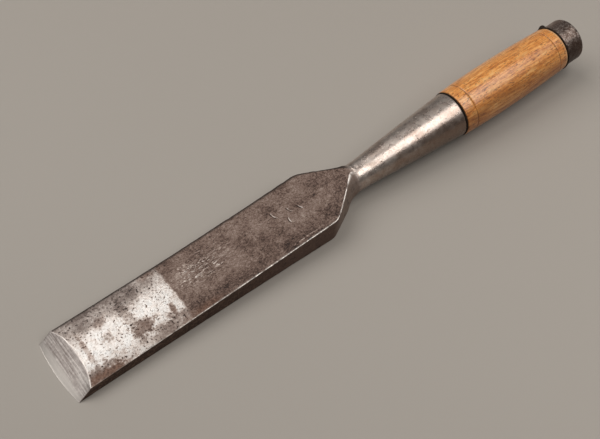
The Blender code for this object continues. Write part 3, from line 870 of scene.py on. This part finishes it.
def make_steel(material):
    rows, stations, bevels, inside = steel_rows()
    marks = steel_marks(rows, stations, bevels, inside)
    back = np.zeros(RING)
    back[BACK_FIRST:LEFT_FIRST] = 1.0
    rough = np.clip(1 - inside[:, None] - marks["bevel"] - back, 0, 1)
    forged = eased(stations, 0.07, 0.11, 0.35, 1.0)[:, None] * rough
    socket = marks["socket"]
    height = grained(rows, *BROAD) * forged * (1 - 0.7 * socket)
    height += grained(rows, *FINE) * forged * (1 - 0.6 * socket)
    dents = []
    for first, *wanted in DENTS:
        dents += scattered(rows[first:-UNDENTED], *wanted)
    height -= dented(rows, dents) * rough * (1 - 0.6 * socket)
    at_arris = np.clip(marks["arris"] * 3, 0, 1)
    height += grained(rows, *WAVY) * at_arris
    height -= arris_nicks(rows, stations) * at_arris
    height += chatter(rows) * rough
    moved = rows + outward(rows) * height[:, :, None]
    moved[:, :, 2] = np.maximum(moved[:, :, 2], 0.0)
    steel = surface("steel_forging", moved, marks, material, capped=True)
    place_piece(steel, "blade", "blade")


def arris_nicks(rows, stations):
    """Depth of the small nicks along the two top arrises."""
    pick = random.Random(5)
    nicks = list(NICKS)
    for _ in range(MORE_NICKS):
        nicks.append((pick.uniform(0.02, 0.225), pick.choice((-1, 1)), pick.uniform(0.00008, 0.00028),
                      pick.uniform(0.0005, 0.0016)))
    depth = np.zeros(rows.shape[:2])
    side = np.sign(rows[:, :, 1])
    for station, which, deep, reach in nicks:
        near = np.exp(-((stations - station) / reach) ** 2)
        depth += deep * near[:, None] * (side == which)
    return depth


def chatter(rows):
    """Shallow ripples that a tool left across the middle of the top face."""
    x = rows[:, :, 0] - EDGE_X
    y = rows[:, :, 1]
    spot = np.exp(-((x - 0.119) / 0.013) ** 2 - ((y - 0.0045) / 0.007) ** 2)
    ripples = np.sin(2 * math.pi * (0.5 * x + y) / CHATTER_PITCH + 1.7 * np.sin(x / 0.0016))
    return CHATTER_HEIGHT * spot * ripples


def grip_radius(station):
    start, belly, end = GRIP_RADII
    if station < BELLY:
        return belly - (belly - start) * ((BELLY - station) / (BELLY - GRIP_START)) ** 2.4
    return belly - (belly - end) * ((station - BELLY) / (GRIP_END - BELLY)) ** 1.7


def bore_radius(station):
    return mixed(BORE_BOTTOM, BORE_MOUTH, (station - BORE_END) / (SOCKET_MOUTH - BORE_END))


def scribed(station):
    """1 in the middle of a scribed ring, 0 beside it."""
    return max(1 - min(abs(station - ring) for ring in RINGS) / RING_REACH, 0.0)


def grip_profile():
    """(station, radius) from the tenon's centre along the outside to the middle of the struck end."""
    clear = GAP + 0.00005
    profile = [(TENON_END, 0.0), (TENON_END, bore_radius(TENON_END) - clear - 0.001),
               (TENON_END + 0.001, bore_radius(TENON_END + 0.001) - clear),
               (SOCKET_MOUTH, BORE_MOUTH - clear), (GRIP_START, BORE_MOUTH - clear)]
    profile += reversed(rounded_edge(GRIP_START, GRIP_RADII[0], GRIP_FRONT_ROUND, 6, -1))
    stations = spaced(GRIP_START + GRIP_REAR_ROUND + 0.0006, GRIP_END - GRIP_REAR_ROUND, 0.0007)
    lines = [ring + share * RING_REACH for ring in RINGS for share in (-1.0, -0.5, 0.0, 0.5, 1.0)]
    kept = [s for s in stations if all(abs(s - line) > 0.0003 for line in lines)]
    profile += [(s, grip_radius(s) - RING_DEPTH * scribed(s)) for s in sorted(kept + lines)]
    profile += rounded_edge(GRIP_END, GRIP_RADII[2], GRIP_REAR_ROUND, 6)
    stub = HOOP_INNER - GAP
    profile += [(GRIP_END, stub), (HOOP_END - 0.0006, stub), (TOOL_END - 0.0003, stub - 0.0010),
                (TOOL_END, stub - 0.0030), (TOOL_END, 0.0)]
    return densified(profile, 0.0035) + profile[-1:]


def make_grip(material):
    """Tenon, grip and stub in one turned piece of wood."""
    profile = grip_profile()
    rows = np.array([ring_about_axis(s, -TURN, max(r, 0.0002)) for s, r in profile])

    def on_grip(station, radius):
        return 1.0 if GRIP_START <= station <= GRIP_END and radius > GRIP_RADII[2] - 0.0015 else 0.0

    marks_of = {
        "groove": lambda s, r: on_grip(s, r) * scribed(s),
        "rim": lambda s, r: on_grip(s, r) * ease(s, GRIP_END - 0.0022, GRIP_END - 0.0009),
        "hidden": lambda s, r: 1.0 if s < GRIP_START and r < GRIP_RADII[0] - 0.002 else 0.0,
        "end_grain": lambda s, r: 1.0 if s > HOOP_END - 0.002 else 0.0,
    }
    marks = {mark: np.array([[value(s, r)] * len(TURN) for s, r in profile])
             for mark, value in marks_of.items()}
    relief = GRIP_OVAL * np.cos(0.7 - 2 * TURN) + grained(rows, *GRIP_BROAD) + grained(rows, *GRIP_FINE)
    relief *= np.array([on_grip(s, r) for s, r in profile])[:, None]
    away = np.outer(np.cos(-TURN), UPRIGHT) + np.outer(np.sin(-TURN), ACROSS)
    grip = surface("turned_grip", rows + away * relief[:, :, None], marks, material, capped=True)
    place_piece(grip, "handle", "handle")


def make_ring(name, node, profile, shaped, marks_of, material):
    """A ring-shaped piece on the handle, from its closed (station, radius) profile.

    shaped gives each point's own station and radius from its angle and its place on the profile."""
    columns = [[axis_point(s) + r * spoke(angle) for s, r in (shaped(angle, *at) for at in profile)]
               for angle in TURN]
    marks = {mark: np.tile([value(s) for s, _ in profile], len(TURN))
             for mark, value in marks_of.items()}
    place_piece(surface(name, np.array(columns), marks, material), node, "handle")


def make_washer(name, node, washer, hole, tab, material):
    """A leather ring with a soft uneven rim, and a lifted tab if one is given."""
    start, thick, radius = washer
    soft = 0.3 * thick
    profile = [(start, hole), (start, radius - soft), (start + 0.3 * soft, radius - 0.3 * soft),
               (start + soft, radius), (start + thick - soft, radius),
               (start + thick - 0.3 * soft, radius - 0.3 * soft), (start + thick, radius - soft),
               (start + thick, hole)]

    def shaped(angle, station, reach):
        lobe = 0.0
        if tab:
            off = math.remainder(angle - tab[0], 2 * math.pi)
            off /= tab[1] if off < 0 else tab[2]
            lobe = max(1 - off * off, 0.0) ** 0.9
        outer = ease(reach, radius - 0.0030, radius - 0.0002)
        wear = 0.00012 * grain(axis_point(station) + reach * spoke(angle), 0.0035, 4.0) * outer
        leading = ease(station, start + 0.6 * thick, start + 0.1 * thick)
        reach += wear + lobe * outer * mixed(*TAB_REACH, leading)
        return station - TAB_FORWARD * lobe * outer * leading, reach

    profile = densified(profile + profile[:1], 0.0007)
    make_ring(name, node, profile, shaped, {}, material)


def make_hoop(material):
    """The striking hoop: hammered outside, well rounded at the rear, thin at its front edge."""
    small = HOOP_FRONT_ROUND
    profile = [(HOOP_START, HOOP_INNER), (HOOP_START, HOOP_RADIUS - small),
               (HOOP_START + 0.3 * small, HOOP_RADIUS - 0.3 * small), (HOOP_START + small, HOOP_RADIUS)]
    profile += rounded_edge(HOOP_END, HOOP_RADIUS, HOOP_REAR_ROUND, 8)
    profile += [(HOOP_END, HOOP_INNER + small), (HOOP_END - small, HOOP_INNER)]
    pick = random.Random(21)
    hammered = [(pick.uniform(0, 2 * math.pi), pick.uniform(HOOP_START, HOOP_END),
                 pick.uniform(0.0012, 0.003), pick.uniform(0.00004, 0.00016))
                for _ in range(HAMMER_MARKS)]

    def shaped(angle, station, reach):
        outer = ease(reach, HOOP_INNER + 0.0006, HOOP_INNER + 0.0016)
        place = axis_point(station) + reach * spoke(angle)
        sunk = 0.0
        for at, along, size, depth in hammered:
            gap = math.hypot(math.remainder(angle - at, 2 * math.pi) * reach, station - along) / size
            sunk += depth * max(1 - gap * gap, 0.0) ** 2
        bumps = 0.00010 * grain(place, 0.010, 5.0) + 0.00004 * grain(place, 0.0025, 7.0)
        return station, reach + outer * (bumps - sunk)

    profile = densified(profile + profile[:1], 0.0005)
    marks = {"worn": lambda s: mixed(0.35, 1.0, ease(s, HOOP_END - 0.0035, HOOP_END - 0.0012))}
    make_ring("striking_hoop", "hoop", profile, shaped, marks, material)


# ---- stage, light and camera ----
def make_stage():
    mesh = bpy.data.meshes.new("floor")
    corners = [(x * FLOOR_HALF, y * FLOOR_HALF, 0) for x, y in ((-1, -1), (1, -1), (1, 1), (-1, 1))]
    mesh.from_pydata(corners, [], [(0, 1, 2, 3)])
    mesh.materials.append(floor_finish())
    floor = new_object("floor", mesh)
    floor.location.z = FLOOR_Z


def area_light(name, place, target, size, power):
    light = bpy.data.lights.new(name, "AREA")
    light.shape = "RECTANGLE"
    light.size, light.size_y = size
    light.energy = power
    light.color = LIGHT_COLOUR
    made = new_object(name, light)
    made.location = place
    made.rotation_euler = (Vector(target) - Vector(place)).to_track_quat("-Z", "Y").to_euler()


def make_light():
    world = bpy.data.worlds.new("studio")
    world.use_nodes = True
    background = world.node_tree.nodes["Background"].inputs
    background["Color"].default_value = WORLD_COLOUR
    background["Strength"].default_value = WORLD_LIGHT
    bpy.context.scene.world = world
    for light in LIGHTS:
        area_light(*light)


def make_camera():
    """From the edge's side and above, as a person holding a camera over a bench would stand."""
    camera = bpy.data.cameras.new("camera")
    camera.sensor_width = CAMERA_SENSOR
    camera.lens = CAMERA_LENS
    made = new_object("camera", camera)
    made.location = CAMERA_PLACE
    made.rotation_euler = Vector(CAMERA_LOOK).to_track_quat("-Z", "Y").to_euler()
    bpy.context.scene.camera = made


def main():
    bpy.context.scene.view_settings.view_transform = "Standard"
    make_camera()
    make_light()
    make_stage()
    leather = leather_finish()
    make_steel(steel_finish())
    make_grip(wood_finish())
    make_washer("mouth_washer_ring", "mouth_washer", MOUTH_WASHER, BORE_MOUTH, None, leather)
    make_washer("hoop_washer_ring", "hoop_washer", HOOP_WASHER, HOOP_INNER, TAB, leather)
    make_hoop(iron_finish())


main()
